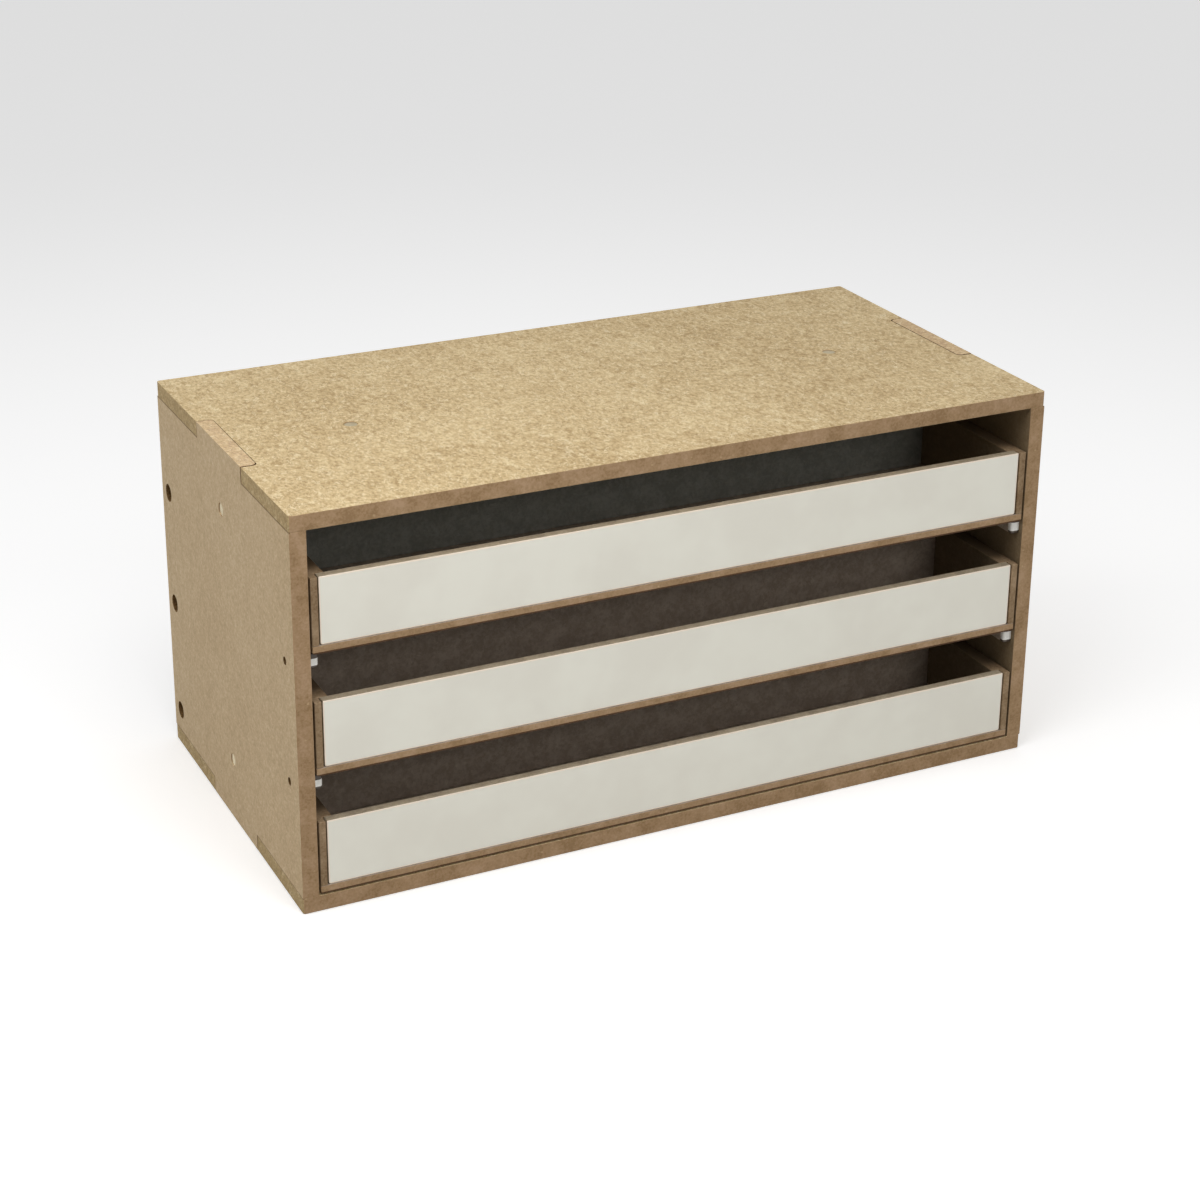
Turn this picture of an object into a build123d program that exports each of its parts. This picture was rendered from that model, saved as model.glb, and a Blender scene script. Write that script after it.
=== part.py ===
from build123d import *
import os

# A free-standing drawer module for a workbench. A carcass of plain fibreboard
# carries three wide, shallow, open-topped drawers, one above the other. There
# are no handles: a finger goes into the gap above each white front plate.
#
# Millimetres. X runs to the right, Y to the back and Z up. The origin is the
# middle of the underside, and the fronts face -Y.

# Carcass
width = 300.0
depth = 150.0
height = 150.0
board = 6.0  # fibreboard of the carcass and of the drawers' sides and backs
thin_board = 3.0  # hard board of the back panel, drawer floors and dividers
corner_round = 1.0  # upright corners of the top and bottom panels

# Tabs of the side panels, which come through the top and bottom panels
tab_length = 50.0
tab_round = 2.0  # inner corners of a tab and of its notch
notch_end_gap = 0.5
notch_side_gap = 0.2

# Runner rails under the middle and top drawers, and the caps on their noses
rail_width = 3.5
rail_height = 5.8
rail_round = 1.2
cap_setback = 2.2  # from the carcass front to the cap's nose
cap_length = 2.3
peg_radius = 1.45
peg_length = 3.2
peg_fit = 0.05
peg_setback = 9.6  # from the carcass front to the peg's axis
peg_drop = 4.3  # from the rail's top to the peg's axis

# Joining holes and magnets, which hold one module to the next
hole_radius = 3.5
hole_back = 8.0  # from the carcass's rear face to the holes
hole_rise = 9.3  # from the floor of a bay to its hole
magnet_radius = 2.5
magnet_length = 3.0
magnet_recess = 0.3
magnet_fit = 0.05
magnet_from_side = 50.0  # on the top and bottom panels
magnet_from_end = 25.0  # on the side panels, from the top and from the bottom

# Rear stop, which the closed drawers meet
stop_board = 9.0
stop_width = 18.0
stop_gap = 0.3

# Drawers
levels = ("bottom", "middle", "top")
drawer_height = 28.0
drawer_side_gap = 0.8
drawer_lift = 0.5  # running gap over the bay's floor or the rails
drawer_floor_round = 0.8
plate_board = 4.0
plate_recess = 0.4
plate_seam = 0.5
plate_round = 0.8
front_lip = 2.5  # brown edge of the drawer's side beside the plate
divider_depth = 48.0  # from the front to the divider
top_divider_depth = 61.5
divider_drop = 2.0  # from the drawer's rim to the divider's top edge

# Edges and corners are picked by their place, to within this much
pick_tolerance = 0.01

# Worked out from the sizes above
front = -depth / 2
rear = depth / 2
wall = width / 2 - board  # inner face of a side panel
bay = (height - 2 * board) / len(levels)
back_face = rear - thin_board  # inner face of the back panel
drawer_length = back_face - stop_board - stop_gap - front
drawer_half = wall - drawer_side_gap
drawer_inner = drawer_half - board
drawer_rear = front + drawer_length


def bay_floor(level):
    """Height of the plane that a drawer runs over."""
    return board + level * bay


def stands_at(coordinate, distance):
    """True for a place this far from the middle, on either side."""
    return abs(abs(coordinate) - distance) < pick_tolerance


def magnet_spots(span, inset):
    """Two places on a line through the middle, the same inset from its ends."""
    return [(span / 2 - inset) * end for end in (-1, 1)]


def block(low, high):
    """Fill the box between two corners, inside the part that is being built."""
    size = [b - a for a, b in zip(low, high)]
    centre = tuple((a + b) / 2 for a, b in zip(low, high))
    with Locations(centre):
        Box(*size)


def save(part, node):
    """Label a finished piece and write it under its node's name."""
    part.label = node
    export_step(part, f"parts/{node}.step")


def cap_panel(base, outer_face, outward):
    """Top or bottom panel: notched for the tabs, with two magnet pockets."""
    notch_depth = board + notch_side_gap
    notch_length = tab_length + 2 * notch_end_gap
    with BuildPart() as panel:
        with BuildSketch(Plane.XY.offset(base)) as outline:
            Rectangle(width, depth)
            fillet(outline.vertices(), corner_round)
            for side in (-1, 1):
                with Locations((side * (width - notch_depth) / 2, 0)):
                    Rectangle(notch_depth, notch_length, mode=Mode.SUBTRACT)
            inner_corners = outline.vertices().filter_by(
                lambda corner: stands_at(corner.X, width / 2 - notch_depth)
            )
            fillet(inner_corners, tab_round)
        extrude(amount=board)
        with BuildSketch(Plane.XY.offset(outer_face)):
            with Locations([(x, 0) for x in magnet_spots(width, magnet_from_side)]):
                Circle(magnet_radius + magnet_fit)
        extrude(amount=-outward * (magnet_length + magnet_recess), mode=Mode.SUBTRACT)
    return panel.part


def cap_magnets(outer_face, outward):
    """The pair of disc magnets in the top or bottom panel."""
    with BuildPart() as magnets:
        with BuildSketch(Plane.XY.offset(outer_face - outward * magnet_recess)):
            with Locations([(x, 0) for x in magnet_spots(width, magnet_from_side)]):
                Circle(magnet_radius)
        extrude(amount=-outward * magnet_length)
    return magnets.part


def side_magnet_places():
    """Y and Z of the magnets on a side panel."""
    return [(0, height / 2 + z) for z in magnet_spots(height, magnet_from_end)]


def side_panel(side):
    """Left (-1) or right (1) side panel, with its tabs and holes."""
    outer = Plane.YZ.offset(side * width / 2)
    peg_places = [
        (front + peg_setback, bay_floor(level) - peg_drop) for level in range(1, len(levels))
    ]
    hole_places = [
        (rear - hole_back, bay_floor(level) + hole_rise) for level in range(len(levels))
    ]
    with BuildPart() as panel:
        with BuildSketch(outer):
            with Locations((0, height / 2)):
                Rectangle(depth, height - 2 * board)
                Rectangle(tab_length, height)
        extrude(amount=-side * board)
        tab_corners = (
            panel.edges()
            .filter_by(Axis.Z)
            .filter_by(lambda edge: stands_at(edge.center().Y, tab_length / 2))
            .filter_by(lambda edge: stands_at(edge.center().X, wall))
        )
        fillet(tab_corners, tab_round)
        with BuildSketch(outer):
            with Locations(hole_places):
                Circle(hole_radius)
            with Locations(peg_places):
                Circle(peg_radius + peg_fit)
        extrude(amount=-side * board, mode=Mode.SUBTRACT)
        with BuildSketch(outer):
            with Locations(side_magnet_places()):
                Circle(magnet_radius + magnet_fit)
        extrude(amount=-side * (magnet_length + magnet_recess), mode=Mode.SUBTRACT)
    return panel.part


def side_magnets(side):
    """The pair of disc magnets in a side panel."""
    with BuildPart() as magnets:
        with BuildSketch(Plane.YZ.offset(side * (width / 2 - magnet_recess))):
            with Locations(side_magnet_places()):
                Circle(magnet_radius)
        extrude(amount=-side * magnet_length)
    return magnets.part


def runner_section(side, level, near, far):
    """Fill a stretch of a rail's section between two distances from the front."""
    top = bay_floor(level)
    inner = wall - rail_width
    block(
        (min(side * inner, side * wall), front + near, top - rail_height),
        (max(side * inner, side * wall), front + far, top),
    )


def runner_rail(side, level):
    """Rail on a side panel, held near its nose by a peg in the wall."""
    with BuildPart() as rail:
        runner_section(side, level, cap_setback + cap_length, back_face - front)
        inner_face = rail.faces().sort_by(Axis.X)[0 if side > 0 else -1]
        fillet(inner_face.edges().sort_by(Axis.Z)[0], rail_round)
        with BuildSketch(Plane.YZ.offset(side * wall)):
            with Locations((front + peg_setback, bay_floor(level) - peg_drop)):
                Circle(peg_radius)
        extrude(amount=side * peg_length)
    return rail.part


def rail_cap(side, level):
    """Moulded cap on the nose of a rail, rounded where a drawer meets it."""
    with BuildPart() as cap:
        runner_section(side, level, cap_setback, cap_setback + cap_length)
        inner_face = cap.faces().sort_by(Axis.X)[0 if side > 0 else -1]
        front_face = cap.faces().sort_by(Axis.Y)[0]
        lower_edge = inner_face.edges().sort_by(Axis.Z)[0]
        nose_upright = inner_face.edges().sort_by(Axis.Y)[0]
        nose_bottom = front_face.edges().sort_by(Axis.Z)[0]
        fillet([lower_edge, nose_upright, nose_bottom], rail_round)
    return cap.part


def drawer_floor(base):
    """Hard board under the whole drawer, with its running edges rounded."""
    with BuildPart() as floor:
        block(
            (-drawer_half, front, base),
            (drawer_half, drawer_rear, base + thin_board),
        )
        running_edges = floor.edges().filter_by(Axis.Y).group_by(Axis.Z)[0]
        fillet(running_edges, drawer_floor_round)
    return floor.part


def drawer_side(side, base):
    """Side of a drawer, rebated at the front to take the plate."""
    shoulder = front + plate_board
    lip_face = drawer_half - front_lip
    with BuildPart() as wall_piece:
        with BuildSketch(Plane.XY.offset(base + thin_board)):
            with BuildLine():
                Polyline(
                    (side * drawer_half, front),
                    (side * drawer_half, drawer_rear),
                    (side * drawer_inner, drawer_rear),
                    (side * drawer_inner, shoulder),
                    (side * lip_face, shoulder),
                    (side * lip_face, front),
                    close=True,
                )
            make_face()
        extrude(amount=drawer_height - thin_board)
    return wall_piece.part


def drawer_back(base):
    """Board between the drawer's sides, at the rear."""
    with BuildPart() as back:
        block(
            (-drawer_inner, drawer_rear - board, base + thin_board),
            (drawer_inner, drawer_rear, base + drawer_height),
        )
    return back.part


def front_plate(base):
    """White-faced plate that closes the front between the two lips."""
    half = drawer_half - front_lip - plate_seam
    with BuildPart() as plate:
        block(
            (-half, front + plate_recess, base + thin_board),
            (half, front + plate_board, base + drawer_height),
        )
        lower_corners = plate.edges().filter_by(Axis.Y).group_by(Axis.Z)[0]
        fillet(lower_corners, plate_round)
    return plate.part


def divider(base, from_front):
    """Crosswise board that parts the drawer in two."""
    face = front + from_front
    with BuildPart() as board_piece:
        block(
            (-drawer_inner, face, base + thin_board),
            (drawer_inner, face + thin_board, base + drawer_height - divider_drop),
        )
    return board_piece.part


os.makedirs("parts", exist_ok=True)

save(cap_panel(0, 0, -1), "bottom_panel")
save(cap_panel(height - board, height, 1), "top_panel")
save(cap_magnets(0, -1), "bottom_magnets")
save(cap_magnets(height, 1), "top_magnets")

for side, side_name in ((-1, "left"), (1, "right")):
    save(side_panel(side), f"{side_name}_side_panel")
    save(side_magnets(side), f"{side_name}_magnets")
    for level in range(1, len(levels)):
        rail = f"{levels[level]}_{side_name}_rail"
        save(runner_rail(side, level), rail)
        save(rail_cap(side, level), f"{rail}_cap")

with BuildPart() as back_panel:
    block((-wall, back_face, board), (wall, rear, height - board))
save(back_panel.part, "back_panel")

with BuildPart() as rear_stop:
    block(
        (-stop_width / 2, back_face - stop_board, board),
        (stop_width / 2, back_face, height - board),
    )
save(rear_stop.part, "rear_stop")

for level, level_name in enumerate(levels):
    base = bay_floor(level) + drawer_lift
    is_top = level == len(levels) - 1
    drawer = f"{level_name}_drawer"
    save(drawer_floor(base), f"{drawer}_floor")
    save(drawer_side(-1, base), f"{drawer}_left_side")
    save(drawer_side(1, base), f"{drawer}_right_side")
    save(drawer_back(base), f"{drawer}_back")
    save(front_plate(base), f"{drawer}_front_plate")
    save(divider(base, top_divider_depth if is_top else divider_depth), f"{drawer}_divider")
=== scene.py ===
import logging
import math
from dataclasses import dataclass
from enum import Enum

import bmesh
import bpy
from mathutils import Matrix, Vector


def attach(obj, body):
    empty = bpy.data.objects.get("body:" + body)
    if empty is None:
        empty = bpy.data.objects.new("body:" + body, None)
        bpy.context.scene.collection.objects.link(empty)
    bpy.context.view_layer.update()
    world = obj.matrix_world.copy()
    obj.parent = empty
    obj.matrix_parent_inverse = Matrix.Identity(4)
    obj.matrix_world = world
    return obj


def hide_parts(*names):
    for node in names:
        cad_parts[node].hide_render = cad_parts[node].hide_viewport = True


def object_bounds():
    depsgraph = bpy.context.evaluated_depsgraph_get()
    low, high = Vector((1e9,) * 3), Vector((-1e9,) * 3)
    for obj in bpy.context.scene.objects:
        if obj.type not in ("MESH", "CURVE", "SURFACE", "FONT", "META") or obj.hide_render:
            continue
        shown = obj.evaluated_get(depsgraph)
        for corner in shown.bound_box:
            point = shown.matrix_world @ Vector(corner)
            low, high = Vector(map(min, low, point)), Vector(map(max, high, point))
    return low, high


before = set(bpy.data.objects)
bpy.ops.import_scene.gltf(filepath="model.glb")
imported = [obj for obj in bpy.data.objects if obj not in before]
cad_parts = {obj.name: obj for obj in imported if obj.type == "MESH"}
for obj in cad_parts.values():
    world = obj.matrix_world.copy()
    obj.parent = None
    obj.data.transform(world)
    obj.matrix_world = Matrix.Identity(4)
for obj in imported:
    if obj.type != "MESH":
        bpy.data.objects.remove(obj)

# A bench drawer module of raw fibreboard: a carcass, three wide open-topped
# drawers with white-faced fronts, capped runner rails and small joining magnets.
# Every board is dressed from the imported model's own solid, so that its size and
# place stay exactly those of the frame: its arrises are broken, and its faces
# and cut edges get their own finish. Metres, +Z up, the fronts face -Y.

log = logging.getLogger("drawer_module")

MM = 0.001
CAD_LOW, CAD_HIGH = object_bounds()


class BoardFace(Enum):
    """Which way the broad face of a board looks."""

    X = (1.0, 0.0, 0.0)
    Y = (0.0, 1.0, 0.0)
    Z = (0.0, 0.0, 1.0)


class Level(Enum):
    """The drawers, from the lowest up, under the names that their nodes carry."""

    BOTTOM = "bottom"
    MIDDLE = "middle"
    TOP = "top"


class Hand(Enum):
    """The two sides of the module, seen from the front."""

    LEFT = "left"
    RIGHT = "right"


def linear(hex_colour: str) -> tuple[float, float, float, float]:
    """Turn an sRGB hex colour into the linear colour that a shader takes.

    Args:
        hex_colour: Six hex digits after a hash sign.

    Returns:
        Red, green, blue and an alpha of one.
    """
    channels = [int(hex_colour[i:i + 2], 16) / 255 for i in (1, 3, 5)]
    curve = [c / 12.92 if c <= 0.04045 else ((c + 0.055) / 1.055) ** 2.4 for c in channels]
    return (curve[0], curve[1], curve[2], 1.0)


def per_mm(size_mm: float) -> float:
    """Noise scale whose features are about this many millimetres across."""
    return 1.0 / (size_mm * MM)


def add_node(tree: bpy.types.NodeTree, kind: str, sockets: dict | None = None,
             **settings: object) -> bpy.types.Node:
    """Add one shader node with its settings and links.

    Args:
        tree: The node tree that gets the node.
        kind: The node's Blender type.
        sockets: Input name or index to a value, or to an output to link from.
        settings: Attributes of the node.

    Returns:
        The new node.
    """
    node = tree.nodes.new(kind)
    for name, value in settings.items():
        setattr(node, name, value)
    for socket, value in (sockets or {}).items():
        if isinstance(value, bpy.types.NodeSocket):
            tree.links.new(value, node.inputs[socket])
        else:
            node.inputs[socket].default_value = value
    return node


class Shader:
    """A material under construction, with the few pattern steps that the finishes share."""

    def __init__(self, name: str) -> None:
        """Start an empty material with its coordinates ready."""
        self.material = bpy.data.materials.new(name)
        self.material.use_nodes = True
        self.tree = self.material.node_tree
        self.tree.nodes.clear()
        self.coordinates = add_node(self.tree, "ShaderNodeTexCoord")

    def drawn_out(self, stretch: tuple[float, float, float],
                  shift: float = 0.0) -> bpy.types.NodeSocket:
        """The piece's own coordinates, moved, and with a pattern drawn out along its axes.

        Args:
            stretch: How many times longer the pattern is along each axis.
            shift: Metres by which it is moved, so that two patterns differ.

        Returns:
            The coordinates.
        """
        node = add_node(self.tree, "ShaderNodeMapping", {
            "Vector": self.coordinates.outputs["Object"],
            "Location": (shift, shift, shift),
            "Scale": tuple(1.0 / s for s in stretch),
        })
        return node.outputs["Vector"]

    def noise(self, size_mm: float, detail: float, distortion: float = 0.0,
              vector: bpy.types.NodeSocket | None = None) -> bpy.types.NodeSocket:
        """Noise over the piece's own coordinates.

        Args:
            size_mm: Size of its features.
            detail: How many finer layers it has.
            distortion: How far it is warped.
            vector: Coordinates, if not the plain ones of the object.

        Returns:
            The noise, around a half.
        """
        node = add_node(self.tree, "ShaderNodeTexNoise", {
            "Vector": vector or self.coordinates.outputs["Object"],
            "Scale": per_mm(size_mm),
            "Detail": detail,
            "Roughness": 0.6,
            "Distortion": distortion,
        })
        return node.outputs["Fac"]

    def maths(self, operation: str, first: object, second: object = 0.5,
              third: object = 0.5) -> bpy.types.NodeSocket:
        """One arithmetic step on numbers or sockets."""
        node = add_node(self.tree, "ShaderNodeMath", {0: first, 1: second, 2: third},
                        operation=operation)
        return node.outputs[0]

    def remap(self, value: bpy.types.NodeSocket, low: float, high: float, to_low: float = 0.0,
              to_high: float = 1.0) -> bpy.types.NodeSocket:
        """Map a value smoothly from one span to another, held at its ends."""
        node = add_node(self.tree, "ShaderNodeMapRange", {
            "Value": value, "From Min": low, "From Max": high, "To Min": to_low, "To Max": to_high,
        }, interpolation_type="SMOOTHSTEP")
        return node.outputs["Result"]

    def blend(self, factor: object, first: object, second: object) -> bpy.types.NodeSocket:
        """Mix two colours, given as hex text or as sockets."""
        pair = [linear(c) if isinstance(c, str) else c for c in (first, second)]
        node = add_node(self.tree, "ShaderNodeMix", {0: factor, 6: pair[0], 7: pair[1]},
                        data_type="RGBA")
        return node.outputs[2]

    def strand(self, size_mm: float, width: float,
               vector: bpy.types.NodeSocket) -> bpy.types.NodeSocket:
        """Thin, curly, broken lines, as pressed wood fibres leave on a board.

        Args:
            size_mm: Rough length of a strand's curl.
            width: Share of the surface that the strands take.
            vector: Coordinates of the pattern.

        Returns:
            One on a strand, falling to nothing beside it.
        """
        off_line = self.maths("ABSOLUTE", self.maths(
            "SUBTRACT", self.noise(size_mm, 1.0, 1.6, vector), 0.5))
        line = self.remap(off_line, 0.0, width, 1.0, 0.0)
        broken = self.remap(self.noise(size_mm * 0.8, 1.0, 0.0, vector), 0.47, 0.60)
        return self.maths("MULTIPLY", line, broken)

    def along(self, direction: tuple[float, float, float]) -> bpy.types.NodeSocket:
        """Cosine between the surface's normal and a direction in the object's own axes."""
        dot = add_node(self.tree, "ShaderNodeVectorMath", {
            0: self.coordinates.outputs["Normal"], 1: direction,
        }, operation="DOT_PRODUCT")
        return dot.outputs["Value"]

    def facing(self, direction: tuple[float, float, float], both_ways: bool = True
               ) -> bpy.types.NodeSocket:
        """One on the faces that look along a direction and on their arrises, else nothing.

        Args:
            direction: Unit vector in the object's own axes.
            both_ways: Whether the faces that look the opposite way count too.

        Returns:
            The mask.
        """
        along = self.along(direction)
        if both_ways:
            along = self.maths("ABSOLUTE", along)
        return self.remap(along, 0.55, 0.75)

    def place(self, axis: str) -> bpy.types.NodeSocket:
        """Metres along one of the object's own axes."""
        parts = add_node(self.tree, "ShaderNodeSeparateXYZ", {
            0: self.coordinates.outputs["Object"],
        })
        return parts.outputs[axis]

    def near(self, axis: str, middle_mm: float, low_mm: float, high_mm: float
             ) -> bpy.types.NodeSocket:
        """One where the distance from a level along an axis lies between two limits.

        Args:
            axis: X, Y or Z.
            middle_mm: The level that distances are taken from, on both sides of it.
            low_mm: The lower limit.
            high_mm: The upper limit.

        Returns:
            The mask.
        """
        away = self.maths("ABSOLUTE", self.maths("SUBTRACT", self.place(axis), middle_mm * MM))
        return self.maths("MULTIPLY", self.maths("GREATER_THAN", away, low_mm * MM),
                          self.maths("LESS_THAN", away, high_mm * MM))

    def all_of(self, *masks: bpy.types.NodeSocket) -> bpy.types.NodeSocket:
        """Product of several masks."""
        product = masks[0]
        for mask in masks[1:]:
            product = self.maths("MULTIPLY", product, mask)
        return product

    def mix_number(self, factor: bpy.types.NodeSocket, first: object,
                   second: object) -> bpy.types.NodeSocket:
        """Mix two numbers or patterns."""
        node = add_node(self.tree, "ShaderNodeMix", {0: factor, 2: first, 3: second},
                        data_type="FLOAT")
        return node.outputs[0]

    def surface(self, colour: bpy.types.NodeSocket, roughness: object,
                height: bpy.types.NodeSocket | None = None, depth_mm: float = 0.0,
                **plain: float) -> bpy.types.Material:
        """Close the material with its shader.

        Args:
            colour: The base colour.
            roughness: A number or a pattern.
            height: The relief, if it has one.
            depth_mm: How deep the relief is.
            plain: Shader sockets that are the same all over, by their names with underscores.

        Returns:
            The finished material.
        """
        sockets = {"Base Color": colour, "Roughness": roughness}
        for name, value in plain.items():
            sockets[name.replace("_", " ")] = value
        if height is not None:
            bump = add_node(self.tree, "ShaderNodeBump", {
                "Strength": 1.0, "Distance": depth_mm * MM, "Height": height,
            })
            sockets["Normal"] = bump.outputs["Normal"]
        shader = add_node(self.tree, "ShaderNodeBsdfPrincipled", sockets)
        add_node(self.tree, "ShaderNodeOutputMaterial", {"Surface": shader.outputs["BSDF"]})
        return self.material


@dataclass(frozen=True)
class CutEdge:
    """Milled edge of a fibreboard: plain and browner than the face, with a few pale chips."""

    dark: str = "#967957"
    mid: str = "#A88A68"
    light: str = "#B59778"
    chip: str = "#D2B993"
    mottle_mm: float = 8.0
    grain_mm: float = 0.9
    chip_mm: float = 1.7
    chip_share: float = 0.4

    def pattern(self, shader: Shader) -> tuple[bpy.types.NodeSocket, bpy.types.NodeSocket]:
        """Colour and relief of the edge."""
        mottle = shader.noise(self.mottle_mm, 2.0, 0.3)
        grain = shader.noise(self.grain_mm, 2.0)
        tone = shader.maths("MULTIPLY_ADD", grain, 0.45, shader.maths("MULTIPLY", mottle, 0.55))
        lower = shader.blend(shader.remap(tone, 0.36, 0.51), self.dark, self.mid)
        colour = shader.blend(shader.remap(tone, 0.49, 0.66), lower, self.light)
        chips = shader.remap(shader.noise(self.chip_mm, 0.0), 0.78, 0.84)
        colour = shader.blend(shader.maths("MULTIPLY", chips, self.chip_share), colour,
                              self.chip)
        return colour, grain


@dataclass(frozen=True)
class BoreWall:
    """Drilled wall of a hole in fibreboard: rough and dark brown, partly its own tone and partly
    painted shade, so that the hole reads deep.
    """

    name: str = "bore_wall"
    dark: str = "#644A2C"
    light: str = "#86673F"
    grain_mm: float = 0.8

    def build(self) -> bpy.types.Material:
        """Make the material."""
        shader = Shader(self.name)
        grain = shader.noise(self.grain_mm, 2.0)
        colour = shader.blend(shader.remap(grain, 0.35, 0.65), self.dark, self.light)
        return shader.surface(colour, 0.95, grain, 0.05, Specular_IOR_Level=0.2)


@dataclass(frozen=True)
class TabJoint:
    """Where the tabs meet the caps: the gaps are painted dark with painted shade, so that they
    read as lines.
    """

    # Colours of the painted shade in the gaps: dark on the notch walls and tab flanks, line along
    # the shoulders
    dark: str = "#57391A"
    line: str = "#6E5432"
    cap_inside_mm: float = 143.5  # notch walls lie beyond this from the middle along X
    outside_mm: float = 149.85
    notch_mm: float = 25.75  # and within this along Y
    middle_mm: float = 75.0  # height of the module's middle
    cap_mm: float = 69.0  # from there to the caps' inner faces
    beside_tab_mm: float = 25.1  # the shoulders lie beyond this along Y
    line_mm: tuple[float, float] = (-0.32, 0.1)  # their line, from the caps' inner faces
    skin_mm: float = 149.5  # it shows only beyond this along X
    beyond_mm: float = 200.0  # further out than any board reaches
    floor_mm: float = 6.0  # height of the bottom panel's upper face
    under_mm: tuple[float, float] = (55.0, 74.7)  # its strip of painted shade under the drawer's front, along Y from the middle

    def notch(self, shader: Shader) -> bpy.types.NodeSocket:
        """Mask of the notch walls of a cap."""
        return shader.all_of(
            shader.near("X", 0.0, self.cap_inside_mm, self.outside_mm),
            shader.near("Y", 0.0, 0.0, self.notch_mm),
            shader.maths("SUBTRACT", 1.0, shader.facing(BoardFace.Z.value)))

    def threshold(self, shader: Shader) -> bpy.types.NodeSocket:
        """Mask of the bottom panel's upper face just inside the front, under the drawer, where
        shade is painted.
        """
        return shader.all_of(shader.near("Z", self.floor_mm, 0.0, 0.05),
                             shader.near("Y", 0.0, *self.under_mm),
                             shader.maths("LESS_THAN", shader.place("Y"), 0.0))

    def flanks(self, shader: Shader) -> bpy.types.NodeSocket:
        """Mask of a side panel's tab faces that look at the notch walls."""
        return shader.all_of(
            shader.near("Z", self.middle_mm, self.cap_mm + 0.02, self.beyond_mm),
            shader.near("X", 0.0, 0.0, self.outside_mm),
            shader.maths("SUBTRACT", 1.0, shader.facing(BoardFace.Z.value)))

    def shoulder(self, shader: Shader) -> bpy.types.NodeSocket:
        """Mask of the thin line where a side panel's shoulders meet the caps."""
        return shader.all_of(
            shader.near("Z", self.middle_mm, *(self.cap_mm + z for z in self.line_mm)),
            shader.near("Y", 0.0, self.beside_tab_mm, self.beyond_mm),
            shader.near("X", 0.0, self.skin_mm, self.beyond_mm))


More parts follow.
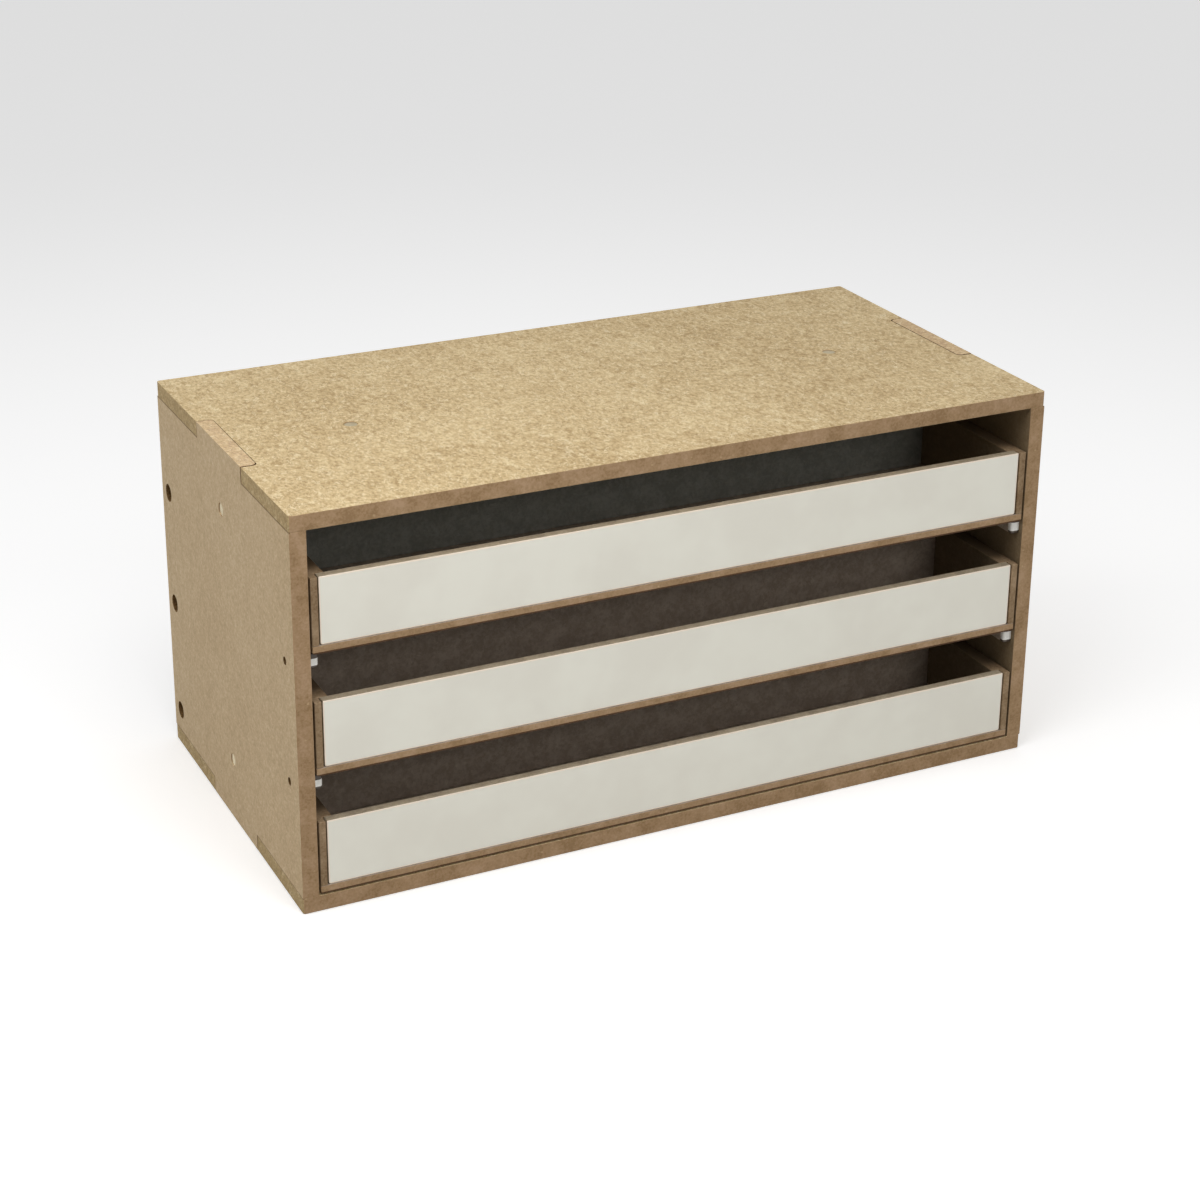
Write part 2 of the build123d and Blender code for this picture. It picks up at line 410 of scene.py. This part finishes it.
@dataclass(frozen=True)
class SandedFibreboard:
    """Sanded MDF: matte tan felt of short pale and brown fibres, with no grain direction."""

    name: str
    dark: str
    mid: str
    light: str
    pale_fibre: str = "#EFDFBA"
    brown_fibre: str = "#8E7147"
    fibre_share: float = 1.0
    stretch: tuple[float, float, float] = (1.0, 1.0, 1.0)
    cloud_mm: float = 45.0
    mottle_mm: float = 5.0
    grain_mm: float = 1.15  # real fibres are finer, and are drawn as coarse as they need to show
    cloud_share: float = 0.20
    mottle_share: float = 0.23
    grain_share: float = 0.57
    fibre_mm: float = 3.3
    front_edge_mm: float | None = None  # beyond this from the middle, all is cut edge
    inner_mm: float | None = None  # broad faces within this from the middle look inwards
    inner_shade: str = "#4F3F2B"  # those are painted darker than the sanded outside: painted shade
    inner_share: float = 0.72
    shaded_rim_mm: tuple[float, float] = (-71.0, -62.0)  # rims are painted with shade that darkens backwards between these
    rim_share: float = 0.0
    edge: CutEdge = CutEdge()

    def felt(self, shader: Shader) -> tuple[bpy.types.NodeSocket, bpy.types.NodeSocket]:
        """Colour and relief of the sanded face."""
        spread = shader.drawn_out(self.stretch)
        cloud = shader.noise(self.cloud_mm, 2.0)
        mottle = shader.noise(self.mottle_mm, 3.0, 0.4, spread)
        grain = shader.noise(self.grain_mm, 2.0, 0.4, spread)
        tone = shader.maths("MULTIPLY_ADD", cloud, self.cloud_share,
                            shader.maths("MULTIPLY", mottle, self.mottle_share))
        tone = shader.maths("MULTIPLY_ADD", grain, self.grain_share, tone)
        lower = shader.blend(shader.remap(tone, 0.38, 0.51), self.dark, self.mid)
        colour = shader.blend(shader.remap(tone, 0.49, 0.63), lower, self.light)
        strands = (  # length, width, shift, share and colour
            (self.fibre_mm, 0.045, 0.31, 0.65, self.pale_fibre),
            (self.fibre_mm * 0.6, 0.055, 0.12, 0.50, self.pale_fibre),
            (self.fibre_mm * 0.7, 0.045, 0.77, 0.50, self.brown_fibre),
        )
        for length, width, shift, share, fibre in strands:
            line = shader.strand(length, width, shader.drawn_out(self.stretch, shift))
            colour = shader.blend(shader.maths("MULTIPLY", line, share * self.fibre_share),
                                  colour, fibre)
        return colour, grain

    def build(self, board: BoardFace, ends: BoardFace | None = None,
              end_felt: "SandedFibreboard | None" = None, joint: TabJoint | None = None
              ) -> bpy.types.Material:
        """Make the material.

        Args:
            board: Which way the boards' broad faces look.
            ends: Which way those ends look that are sanded flush with a neighbour's face.
            end_felt: How those ends look.
            joint: The darkened gaps, for boards that are joined with tabs.

        Returns:
            The finished material.
        """
        shader = Shader(f"{self.name}_{board.name.lower()}")
        felt, grain = self.felt(shader)
        edge_colour, edge_height = self.edge.pattern(shader)
        face = shader.facing(board.value)
        if self.front_edge_mm is not None:
            face = shader.maths("MULTIPLY", face, shader.near("Y", 0.0, 0.0, self.front_edge_mm))
        # Painted shade: the inward-looking broad faces are darkened
        if self.inner_mm is not None:
            inwards = shader.near("X", 0.0, 0.0, self.inner_mm)
            felt = shader.blend(shader.maths("MULTIPLY", inwards, self.inner_share), felt,
                                self.inner_shade)
        # Painted shade: the rims darken towards the back
        if self.rim_share > 0.0:
            low, high = (y * MM for y in self.shaded_rim_mm)
            behind = shader.remap(shader.place("Y"), low, high, 0.0, self.rim_share)
            edge_colour = shader.blend(behind, edge_colour, self.inner_shade)
        if ends is not None:
            end_colour, _ = end_felt.felt(shader)
            edge_colour = shader.blend(shader.facing(ends.value), edge_colour, end_colour)
        colour = shader.blend(face, edge_colour, felt)
        # Painted shade darkens the tab joints' gaps and the shoulder lines
        if joint is not None and board is BoardFace.Z:
            colour = shader.blend(joint.notch(shader), colour, joint.dark)
            # Painted shade on the bottom panel's upper face under the bottom drawer's front
            colour = shader.blend(joint.threshold(shader), colour, joint.dark)
        elif joint is not None:
            colour = shader.blend(joint.flanks(shader), colour, joint.dark)
            shoulder = shader.maths("MULTIPLY", joint.shoulder(shader), 0.75)
            colour = shader.blend(shoulder, colour, joint.line)
        height = shader.mix_number(face, edge_height, grain)
        roughness = shader.remap(face, 0.0, 1.0, 0.88, 0.68)
        return shader.surface(colour, roughness, height, 0.05, IOR=1.5, Specular_IOR_Level=0.3)


# The caps' broad faces, rubbed pale and openly fibrous
CAP_FELT = SandedFibreboard("cap_fibreboard", "#AF9468", "#C9B084", "#DEC89C",
                            stretch=(1.0, 1.6, 1.0))
# Their ends, which show as a darker olive strip above the side panels
CAP_END_FELT = SandedFibreboard("cap_end", "#9E875E", "#AF976E", "#BEA67B", fibre_share=0.6)
# The side panels, more evenly sanded and a little greyer, with painted shade on their inward faces
SIDE_FELT = SandedFibreboard("side_fibreboard", "#B79E7A", "#C3AA85", "#CDB795",
                             fibre_share=0.35, inner_mm=144.2)
# The tips of their tabs, flush with the caps and a little pinker than them
TAB_FELT = SandedFibreboard("tab_tip", "#B6977A", "#CAAE86", "#DCC29A", fibre_share=0.9)
# The drawers' boards, with a greyer edge where they meet the plates, and painted shade on their
# inward faces and towards the back of their rims
DRAWER_FELT = SandedFibreboard("drawer_fibreboard", "#B39B78", "#C0A884", "#CFB997",
                               fibre_share=0.5, front_edge_mm=70.9, inner_mm=138.0,
                               rim_share=0.88, edge=CutEdge("#80674B", "#957D60", "#A99073"))


@dataclass(frozen=True)
class HardBoard:
    """Raw high-density board: thin, greyish brown and smooth, with a faint press sheen."""

    name: str = "hard_board"
    dark: str = "#918273"
    light: str = "#A8998A"
    fibre: str = "#C0B2A1"
    fibre_mm: float = 4.0
    fibre_share: float = 0.4
    shade_line: str = "#45290F"  # the lowest front edge of a drawer's floor, painted dark as shade under the drawer
    pitch_mm: float = 46.0  # from one drawer to the next
    shade_line_top_mm: float = 7.15  # above the plane that each pitch is counted from
    shade_line_ahead_mm: float = -74.5  # it lies before this along Y
    shade_line_share: float = 0.92
    mottle_mm: float = 7.0
    grain_mm: float = 1.2
    edge: CutEdge = CutEdge()

    def build(self, board: BoardFace) -> bpy.types.Material:
        """Make the material for boards whose broad faces look one way."""
        shader = Shader(f"{self.name}_{board.name.lower()}")
        mottle = shader.noise(self.mottle_mm, 3.0, 0.6)
        grain = shader.noise(self.grain_mm, 2.0, 0.4)
        tone = shader.maths("MULTIPLY_ADD", grain, 0.5, shader.maths("MULTIPLY", mottle, 0.5))
        pressed = shader.blend(shader.remap(tone, 0.38, 0.64), self.dark, self.light)
        strand = shader.strand(self.fibre_mm, 0.03, shader.drawn_out((1.0, 1.0, 1.0), 0.53))
        pressed = shader.blend(shader.maths("MULTIPLY", strand, self.fibre_share), pressed,
                               self.fibre)
        edge_colour, edge_height = self.edge.pattern(shader)
        face = shader.facing(board.value)
        colour = shader.blend(face, edge_colour, pressed)
        # Painted shade: a dark line along the lowest front edge of each drawer's floor
        if board is BoardFace.Z:
            above = shader.maths("MODULO", shader.place("Z"), self.pitch_mm * MM)
            low = shader.maths("LESS_THAN", above, self.shade_line_top_mm * MM)
            ahead = shader.maths("LESS_THAN", shader.place("Y"), self.shade_line_ahead_mm * MM)
            shaded_line = shader.maths("MULTIPLY", shader.all_of(low, ahead), self.shade_line_share)
            colour = shader.blend(shaded_line, colour, self.shade_line)
        height = shader.mix_number(face, edge_height, grain)
        roughness = shader.remap(face, 0.0, 1.0, 0.88, 0.52)
        return shader.surface(colour, roughness, height, 0.04, IOR=1.5, Specular_IOR_Level=0.4)


# The top drawer's divider is a greyer and darker copy of the hard board; the darkening is painted
# shade
GREY_BOARD = HardBoard("grey_hard_board", "#77776F", "#8B8B83", "#A0A098")


@dataclass(frozen=True)
class WhiteFacedBoard:
    """Hard board with a white melamine face: satin, nearly even, greyish brown where cut, with a
    painted highlight round the front's edges.
    """

    name: str = "white_faced_board"
    white: str = "#F6F4E8"
    shade: str = "#F1EEE2"
    arris: str = "#FFEFDC"
    pitch_mm: float = 46.0  # from one drawer to the next
    border_mm: tuple[float, float] = (10.05, 33.95)  # the painted highlight lies outside these heights
    half_mm: float = 139.65  # and beyond this from the middle
    highlight_share: float = 0.85
    cloud_mm: float = 34.0
    peel_mm: float = 1.6
    edge: CutEdge = CutEdge("#958670", "#A8987F", "#B8A98F")

    def build(self) -> bpy.types.Material:
        """Make the material: white towards the front, cut board on every other side."""
        shader = Shader(self.name)
        cloud = shader.noise(self.cloud_mm, 3.0)
        peel = shader.noise(self.peel_mm, 1.0)
        melamine = shader.blend(shader.remap(cloud, 0.35, 0.65), self.shade, self.white)
        edge_colour, edge_height = self.edge.pattern(shader)
        front = shader.facing((0.0, -1.0, 0.0), both_ways=False)
        # Painted highlight: a pale warm band on the front's arrises and round its outer edges
        broken = shader.remap(shader.along((0.0, -1.0, 0.0)), 0.80, 0.985, 1.0, 0.0)
        above = shader.maths("MODULO", shader.place("Z"), self.pitch_mm * MM)
        low, high = (z * MM for z in self.border_mm)
        border = shader.maths("MAXIMUM", shader.maths("LESS_THAN", above, low),
                              shader.maths("GREATER_THAN", above, high))
        border = shader.maths("MAXIMUM", border, shader.near("X", 0.0, self.half_mm, 200.0))
        highlit = shader.maths("MAXIMUM", broken, border)
        melamine = shader.blend(shader.maths("MULTIPLY", highlit, self.highlight_share), melamine,
                                self.arris)
        colour = shader.blend(front, edge_colour, melamine)
        height = shader.mix_number(front, edge_height, peel)
        roughness = shader.remap(front, 0.0, 1.0, 0.88, 0.42)
        return shader.surface(colour, roughness, height, 0.012, IOR=1.5)


@dataclass(frozen=True)
class MouldedNylon:
    """Moulded white nylon: soft gloss, spark-eroded texture, and painted shadow above and below a
    white band.
    """

    name: str
    lit_from_mm: float  # below the rail's top
    lit_to_mm: float
    white: str = "#F8F7F2"
    cloudy: str = "#ECEBE4"
    shadow_tone: str = "#453A2F"
    cloud_mm: float = 12.0
    texture_mm: float = 0.5
    middle_mm: float = 75.0  # height of the module's middle
    rail_mm: float = 23.0  # from there to the tops of the rails, one above it and one below

    def build(self) -> bpy.types.Material:
        """Make the material."""
        shader = Shader(self.name)
        white = shader.blend(shader.noise(self.cloud_mm, 2.0), self.cloudy, self.white)
        # Painted shadow: dark outside the white band between these heights, mostly that of the
        # drawer above
        above = shader.near("Z", self.middle_mm, self.rail_mm - self.lit_to_mm,
                            self.rail_mm - self.lit_from_mm)
        below = shader.near("Z", self.middle_mm, self.rail_mm + self.lit_from_mm,
                            self.rail_mm + self.lit_to_mm)
        colour = shader.blend(shader.maths("MAXIMUM", above, below), self.shadow_tone, white)
        texture = shader.noise(self.texture_mm, 1.0)
        roughness = shader.remap(texture, 0.3, 0.7, 0.34, 0.46)
        return shader.surface(colour, roughness, texture, 0.008, IOR=1.53)


# The left caps are painted with a deeper band of shadow above their white than the right ones
LEFT_NYLON = MouldedNylon("left_nylon", 1.9, 4.5)
RIGHT_NYLON = MouldedNylon("right_nylon", 0.9, 4.3)


@dataclass(frozen=True)
class NickelPlate:
    """Nickel plate on a pressed magnet: a bright metal dulled by handling scratches."""

    name: str = "nickel_plate"
    bright: str = "#D6CBAE"
    dull: str = "#BFB294"
    scratch_mm: float = 1.2

    def build(self) -> bpy.types.Material:
        """Make the material."""
        shader = Shader(self.name)
        scratch = shader.noise(self.scratch_mm, 3.0, 2.0)
        colour = shader.blend(shader.remap(scratch, 0.35, 0.65), self.dull, self.bright)
        roughness = shader.remap(scratch, 0.3, 0.7, 0.48, 0.62)
        return shader.surface(colour, roughness, scratch, 0.006, Metallic=1.0)


@dataclass(frozen=True)
class PaleFloor:
    """Seamless pale sweep, painted white round the object and light grey further off: a painted
    pool of light.
    """

    name: str = "pale_floor"
    near: str = "#EEEEEE"
    far: str = "#D4D4D4"
    bounce: str = "#C6C4BF"
    glow: float = 0.36
    near_radius: float = 0.22
    far_radius: float = 1.05

    def build(self) -> bpy.types.Material:
        """Make the material; light that bounces off it is dimmer than the floor that is seen."""
        shader = Shader(self.name)
        distance = add_node(shader.tree, "ShaderNodeVectorMath", {
            0: shader.coordinates.outputs["Object"],
        }, operation="LENGTH").outputs["Value"]
        # Painted pool of light: the seen floor fades from white round the object to light grey
        seen = shader.blend(shader.remap(distance, self.near_radius, self.far_radius), self.near,
                            self.far)
        path = add_node(shader.tree, "ShaderNodeLightPath")
        watched = shader.maths("MAXIMUM", path.outputs["Is Camera Ray"],
                               path.outputs["Is Glossy Ray"])
        colour = shader.blend(watched, self.bounce, seen)
        return shader.surface(colour, 1.0, Specular_IOR_Level=0.0,
                              Emission_Color=linear("#FFFFFF"),
                              Emission_Strength=shader.maths("MULTIPLY", watched, self.glow))


def bore_facets(shape: bmesh.types.BMesh, sharp: float, largest: float,
                through: float = 5.0 * MM) -> list[bmesh.types.BMFace]:
    """Find the facets of a board's round through holes: small ones that close into a ring.

    Args:
        shape: The board.
        sharp: Angle in radians above which an edge parts two faces.
        largest: Square metres above which a face is no facet.
        through: Shallower rings than this are magnet pockets, and are left out.

    Returns:
        The facets of every hole.
    """
    small = {f for f in shape.faces if f.calc_area() < largest}
    found: list[bmesh.types.BMFace] = []
    while small:
        ring = [small.pop()]
        for facet in ring:
            for edge in facet.edges:
                if edge.is_manifold and edge.calc_face_angle() < sharp:
                    near = small.intersection(edge.link_faces)
                    small -= near
                    ring.extend(near)
        pull = sum((f.normal * f.calc_area() for f in ring), Vector())
        closed = len(ring) > 5 and pull.length < 0.02 * sum(f.calc_area() for f in ring)
        if closed and max(e.calc_length() for f in ring for e in f.edges) > through:
            found.extend(ring)
    return found


@dataclass(frozen=True)
class Arris:
    """How a piece's sharp edges are broken."""

    width_mm: float
    segments: int = 3
    sharp_degrees: float = 32.0
    facet_mm2: float = 22.0

    def dress(self, node: str, piece: str, finish: bpy.types.Material, body: str, slot: str,
              bore: bpy.types.Material | None = None) -> bpy.types.Object:
        """Make the shown piece that stands for a node, from the node's own solid.

        Args:
            node: Name of the node in the frame.
            piece: Name of the new piece.
            finish: Its material.
            body: The body that it rides on.
            slot: The record's material slot; not used.
            bore: The material of its round holes' walls, if it has holes.

        Returns:
            The new object.
        """
        sharp = math.radians(self.sharp_degrees)
        largest = self.facet_mm2 * MM * MM
        mesh = bpy.data.meshes.new(piece)
        mesh.materials.append(finish)
        shape = bmesh.new()
        shape.from_mesh(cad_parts[node].data)
        bmesh.ops.remove_doubles(shape, verts=shape.verts, dist=0.002 * MM)
        bmesh.ops.dissolve_limit(shape, angle_limit=math.radians(1.0), verts=shape.verts,
                                 edges=shape.edges)
        for face in shape.faces:
            face.material_index = 0
        if bore is not None:
            mesh.materials.append(bore)
            for facet in bore_facets(shape, sharp, largest):
                facet.material_index = 1
        edges = [e for e in shape.edges if e.is_manifold and e.calc_face_angle() > sharp]
        bmesh.ops.bevel(shape, geom=edges, offset=self.width_mm * MM, offset_type="OFFSET",
                        affect="EDGES", segments=self.segments, profile=0.5, material=-1,
                        clamp_overlap=True)
        for face in shape.faces:
            face.smooth = face.calc_area() < largest
        for edge in shape.edges:
            if edge.is_manifold:
                edge.smooth = edge.calc_face_angle() < sharp
        shape.to_mesh(mesh)
        shape.free()
        made = bpy.data.objects.new(piece, mesh)
        bpy.context.scene.collection.objects.link(made)
        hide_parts(node)
        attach(made, body)
        log.info("%s stands for %s on %s, %d faces", piece, node, body, len(mesh.polygons))
        return made


@dataclass
class Finishes:
    """Every material of the module, made once and shared."""

    cap: bpy.types.Material
    side: bpy.types.Material
    stop: bpy.types.Material
    drawer: dict[BoardFace, bpy.types.Material]
    hard: dict[BoardFace, bpy.types.Material]
    bore: bpy.types.Material
    white: bpy.types.Material
    grey: bpy.types.Material
    nylon: dict[Hand, bpy.types.Material]
    nickel: bpy.types.Material

    @classmethod
    def make(cls) -> "Finishes":
        """Build the materials and return the set."""
        return cls(
            cap=CAP_FELT.build(BoardFace.Z, BoardFace.X, CAP_END_FELT, TabJoint()),
            side=SIDE_FELT.build(BoardFace.X, BoardFace.Z, TAB_FELT, TabJoint()),
            stop=SIDE_FELT.build(BoardFace.Y),
            drawer={way: DRAWER_FELT.build(way) for way in (BoardFace.X, BoardFace.Y)},
            hard={way: HardBoard().build(way) for way in BoardFace},
            bore=BoreWall().build(),
            white=WhiteFacedBoard().build(),
            grey=GREY_BOARD.build(BoardFace.Y),
            nylon={Hand.LEFT: LEFT_NYLON.build(), Hand.RIGHT: RIGHT_NYLON.build()},
            nickel=NickelPlate().build(),
        )


@dataclass
class Carcass:
    """The fixed box: outer boards, back panel, rear stop, rails and magnets."""

    finishes: Finishes
    body: str = "carcass"
    board_arris: Arris = Arris(width_mm=0.25)
    rail_arris: Arris = Arris(width_mm=0.2)
    magnet_arris: Arris = Arris(width_mm=0.2)

    def build_boards(self) -> None:
        """Dress the fibreboard panels, the rear stop and the hard back panel."""
        boards = {
            "top_panel": self.finishes.cap,
            "bottom_panel": self.finishes.cap,
            "left_side_panel": self.finishes.side,
            "right_side_panel": self.finishes.side,
            "rear_stop": self.finishes.stop,
        }
        for node, finish in boards.items():
            self.board_arris.dress(node, f"{node}_board", finish, self.body, "mdf_board",
                                   self.finishes.bore)
        self.board_arris.dress("back_panel", "back_panel_board", self.finishes.hard[BoardFace.Y],
                               self.body, "hard_board")

    def build_rails(self) -> None:
        """Dress the hard board rails under two of the drawers, and their nylon caps."""
        for level in (Level.MIDDLE, Level.TOP):
            for hand in Hand:
                rail = f"{level.value}_{hand.value}_rail"
                self.rail_arris.dress(rail, f"{rail}_strip", self.finishes.hard[BoardFace.X],
                                      self.body, "hard_board")
                self.rail_arris.dress(f"{rail}_cap", f"{rail}_cap_nylon",
                                      self.finishes.nylon[hand], self.body, "rail_plastic")

    def build_magnets(self) -> None:
        """Dress the disc magnets, a pair in each outer board."""
        for place in ("top", "bottom", "left", "right"):
            node = f"{place}_magnets"
            self.magnet_arris.dress(node, f"{node}_nickel", self.finishes.nickel, self.body,
                                    "magnet_nickel")

    def build(self) -> None:
        """Dress the whole carcass."""
        self.build_boards()
        self.build_rails()
        self.build_magnets()


@dataclass
class Drawer:
    """One sliding drawer: floor, sides, back, divider and white front plate."""

    level: Level
    finishes: Finishes
    board_arris: Arris = Arris(width_mm=0.25)
    thin_arris: Arris = Arris(width_mm=0.2)
    plate_arris: Arris = Arris(width_mm=0.35)

    @property
    def body(self) -> str:
        """Name of the body that the drawer's pieces ride on."""
        return f"{self.level.value}_drawer"

    def build(self) -> None:
        """Dress the drawer's six boards."""
        boards = {"left_side": BoardFace.X, "right_side": BoardFace.X, "back": BoardFace.Y}
        for part, way in boards.items():
            node = f"{self.body}_{part}"
            self.board_arris.dress(node, f"{node}_board", self.finishes.drawer[way], self.body,
                                   "mdf_board")
        hard = self.finishes.hard
        # The top drawer's divider gets the darker copy: painted shade
        upright = self.finishes.grey if self.level is Level.TOP else hard[BoardFace.Y]
        thin_boards = {"floor": hard[BoardFace.Z], "divider": upright}
        for part, finish in thin_boards.items():
            node = f"{self.body}_{part}"
            self.thin_arris.dress(node, f"{node}_board", finish, self.body, "hard_board")
        plate = f"{self.body}_front_plate"
        self.plate_arris.dress(plate, f"{plate}_board", self.finishes.white, self.body,
                               "white_faced_board")


@dataclass(frozen=True)
class Lamp:
    """One square studio softbox."""

    name: str
    place: tuple[float, float, float]
    aim: tuple[float, float, float]
    watts: float
    across: float
    colour: str = "#FFFFFF"

    def hang(self) -> None:
        """Put the lamp in the scene, looking from its place to its aim."""
        light = bpy.data.lights.new(self.name, "AREA")
        light.color = linear(self.colour)[:3]
        light.energy = self.watts
        light.shape = "SQUARE"
        light.size = self.across
        lamp = bpy.data.objects.new(self.name, light)
        lamp.location = self.place
        way = Vector(self.aim) - Vector(self.place)
        lamp.rotation_euler = way.to_track_quat("-Z", "Y").to_euler()
        bpy.context.scene.collection.objects.link(lamp)
        log.info("%s hung at %s", self.name, self.place)


@dataclass
class Studio:
    """Floor, soft light and the camera at the photograph's viewing angle."""

    floor_radius: float = 9.0
    floor_drop: float = 0.0002  # keeps the floor clear of the underside
    horizon: str = "#DFDFDF"
    ambient: float = 0.14  # light from the horizon
    zenith: float = 0.79  # what is added at the zenith, with the square of the height
    photo_width: float = 1200.0
    focal_pixels: float = 2505.7
    sensor_mm: float = 36.0
    azimuth: float = -26.015
    elevation: float = 21.048
    roll: float = 0.5
    distance: float = 0.9721
    aim: tuple[float, float] = (0.0005, 0.0383)  # right and up of the object's middle
    shift: float = -0.1
    lamps: tuple[Lamp, ...] = (
        Lamp("near_softbox", (-0.17, -0.19, 0.45), (0.0, 0.0, 0.1), 0.66, 0.25),
        Lamp("front_card", (0.41, -1.35, 0.83), (0.0, 0.0, 0.075), 5.3, 0.7),
        Lamp("left_fill", (-1.18, 0.15, 0.45), (0.0, 0.0, 0.075), 2.8, 0.6),
    )

    def build_floor(self) -> None:
        """Lay the pale floor."""
        mesh = bpy.data.meshes.new("studio_floor")
        shape = bmesh.new()
        bmesh.ops.create_circle(shape, cap_ends=True, segments=96, radius=self.floor_radius)
        bmesh.ops.translate(shape, verts=shape.verts, vec=(0.0, 0.0, -self.floor_drop))
        shape.to_mesh(mesh)
        shape.free()
        mesh.materials.append(PaleFloor().build())
        floor = bpy.data.objects.new("studio_floor", mesh)
        bpy.context.scene.collection.objects.link(floor)

    def build_world(self) -> None:
        """Soft light that grows towards the zenith, behind a pale horizon."""
        world = bpy.data.worlds.new("studio_air")
        world.use_nodes = True
        tree = world.node_tree
        tree.nodes.clear()
        way = add_node(tree, "ShaderNodeTexCoord")
        height = add_node(tree, "ShaderNodeSeparateXYZ", {0: way.outputs["Generated"]})
        above = add_node(tree, "ShaderNodeMath", {0: height.outputs["Z"], 1: 0.0},
                         operation="MAXIMUM")
        squared = add_node(tree, "ShaderNodeMath", {0: above.outputs[0], 1: 2.0},
                           operation="POWER")
        strength = add_node(tree, "ShaderNodeMath", {
            0: squared.outputs[0], 1: self.zenith, 2: self.ambient,
        }, operation="MULTIPLY_ADD")
        lit = add_node(tree, "ShaderNodeBackground", {
            "Color": linear("#FFFFFF"), "Strength": strength.outputs[0],
        })
        seen = add_node(tree, "ShaderNodeBackground", {"Color": linear(self.horizon)})
        path = add_node(tree, "ShaderNodeLightPath")
        watched = add_node(tree, "ShaderNodeMath", {
            0: path.outputs["Is Camera Ray"], 1: path.outputs["Is Glossy Ray"],
        }, operation="MAXIMUM")
        mixed = add_node(tree, "ShaderNodeMixShader", {
            0: watched.outputs[0], 1: lit.outputs[0], 2: seen.outputs[0],
        })
        add_node(tree, "ShaderNodeOutputWorld", {"Surface": mixed.outputs[0]})
        bpy.context.scene.world = world

    def hang_lamps(self) -> None:
        """Hang a softbox over the front left corner, a card in front and a fill on the left."""
        for lamp in self.lamps:
            lamp.hang()

    def place_camera(self) -> None:
        """Set the camera from the angles and distances fitted to the photograph."""
        turn, tilt, lean = (math.radians(a) for a in (self.azimuth, self.elevation, self.roll))
        back = Vector((math.sin(turn) * math.cos(tilt), -math.cos(turn) * math.cos(tilt),
                       math.sin(tilt)))
        level_right = Vector((math.cos(turn), math.sin(turn), 0.0))
        level_up = back.cross(level_right)
        right = level_right * math.cos(lean) + level_up * math.sin(lean)
        up = level_up * math.cos(lean) - level_right * math.sin(lean)
        middle = Vector((0.0, 0.0, (CAD_LOW.z + CAD_HIGH.z) / 2))
        eye = middle + right * self.aim[0] + up * self.aim[1] + back * self.distance
        lens = bpy.data.cameras.new("photo_camera")
        lens.sensor_width = self.sensor_mm
        lens.lens = self.focal_pixels / self.photo_width * self.sensor_mm
        lens.shift_y = self.shift
        lens.clip_start = 0.01
        lens.clip_end = 50.0
        camera = bpy.data.objects.new("photo_camera", lens)
        camera.matrix_world = Matrix((right, up, back)).transposed().to_4x4()
        camera.location = eye
        bpy.context.scene.collection.objects.link(camera)
        bpy.context.scene.camera = camera

    def build(self) -> None:
        """Set up the whole studio."""
        self.build_floor()
        self.build_world()
        self.hang_lamps()
        self.place_camera()
        bpy.context.scene.view_settings.view_transform = "Standard"


def main() -> None:
    """Build the studio and dress the module."""
    logging.basicConfig(level=logging.INFO, format="%(name)s: %(message)s")
    Studio().build()
    finishes = Finishes.make()
    Carcass(finishes).build()
    for level in Level:
        Drawer(level, finishes).build()


if __name__ == "__main__":
    main()
